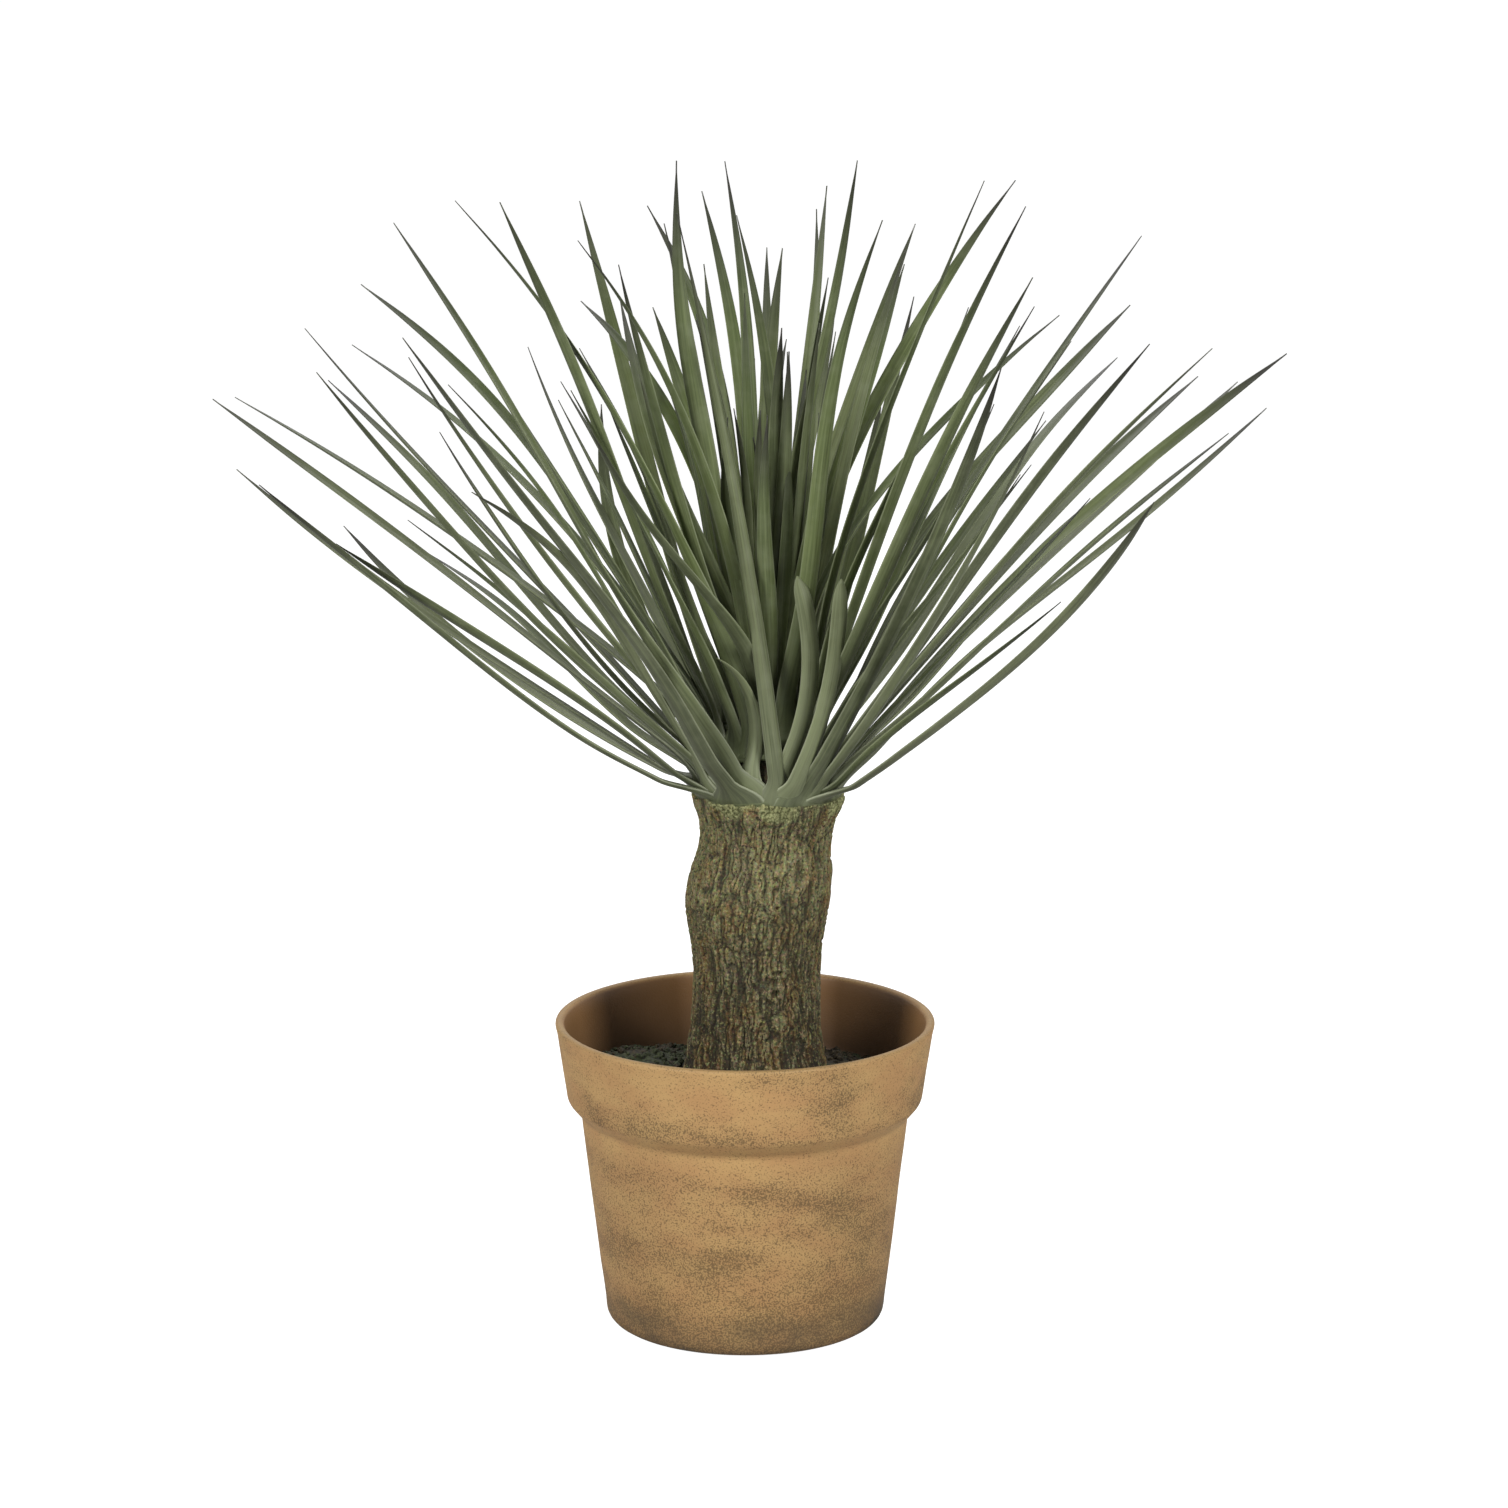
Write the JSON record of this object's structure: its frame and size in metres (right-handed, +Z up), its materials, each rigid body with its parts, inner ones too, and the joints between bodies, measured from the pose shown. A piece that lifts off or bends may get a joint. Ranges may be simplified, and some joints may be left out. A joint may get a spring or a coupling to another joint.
{
  "type": "potted yucca",
  "caption": "Yucca in a pot: a spray of sword-shaped leaves on a short barked trunk that stands in potting soil in a round tapered pot with a collar band.",
  "frame": {"origin": "centre of the pot's flat underside", "axes": "+Z up along the pot, -Y is the front, +X to the right seen from the front"},
  "size_m": [0.4649, 0.4013, 0.5231],
  "materials": {
    "pot": "matt terracotta look, ochre tan with fine brown speckle",
    "soil": "dark moist potting compost with mossy crumbs",
    "bark": "rough fissured olive-brown bark",
    "leaf": "satin, waxy grey-green with darker tips"
  },
  "bodies": {
    "root": {"pot": "pot", "potting_soil": "soil", "trunk": "bark", "leaf_01": "leaf", "leaf_02": "leaf", "leaf_03": "leaf", "leaf_04": "leaf", "leaf_05": "leaf", "leaf_06": "leaf", "leaf_07": "leaf", "leaf_08": "leaf", "leaf_09": "leaf", "leaf_10": "leaf", "leaf_11": "leaf", "leaf_12": "leaf", "leaf_13": "leaf", "leaf_14": "leaf", "leaf_15": "leaf", "leaf_16": "leaf", "leaf_17": "leaf", "leaf_18": "leaf", "leaf_19": "leaf", "leaf_20": "leaf", "leaf_21": "leaf", "leaf_22": "leaf", "leaf_23": "leaf", "leaf_24": "leaf", "leaf_25": "leaf", "leaf_26": "leaf", "leaf_27": "leaf", "leaf_28": "leaf", "leaf_29": "leaf", "leaf_30": "leaf", "leaf_31": "leaf", "leaf_32": "leaf", "leaf_33": "leaf", "leaf_34": "leaf", "leaf_35": "leaf", "leaf_36": "leaf", "leaf_37": "leaf", "leaf_38": "leaf", "leaf_39": "leaf", "leaf_40": "leaf", "leaf_41": "leaf", "leaf_42": "leaf", "leaf_43": "leaf", "leaf_44": "leaf", "leaf_45": "leaf", "leaf_46": "leaf", "leaf_47": "leaf", "leaf_48": "leaf", "leaf_49": "leaf", "leaf_50": "leaf", "leaf_51": "leaf", "leaf_52": "leaf", "leaf_53": "leaf", "leaf_54": "leaf", "leaf_55": "leaf", "leaf_56": "leaf", "leaf_57": "leaf"}
  },
  "joints": []
}
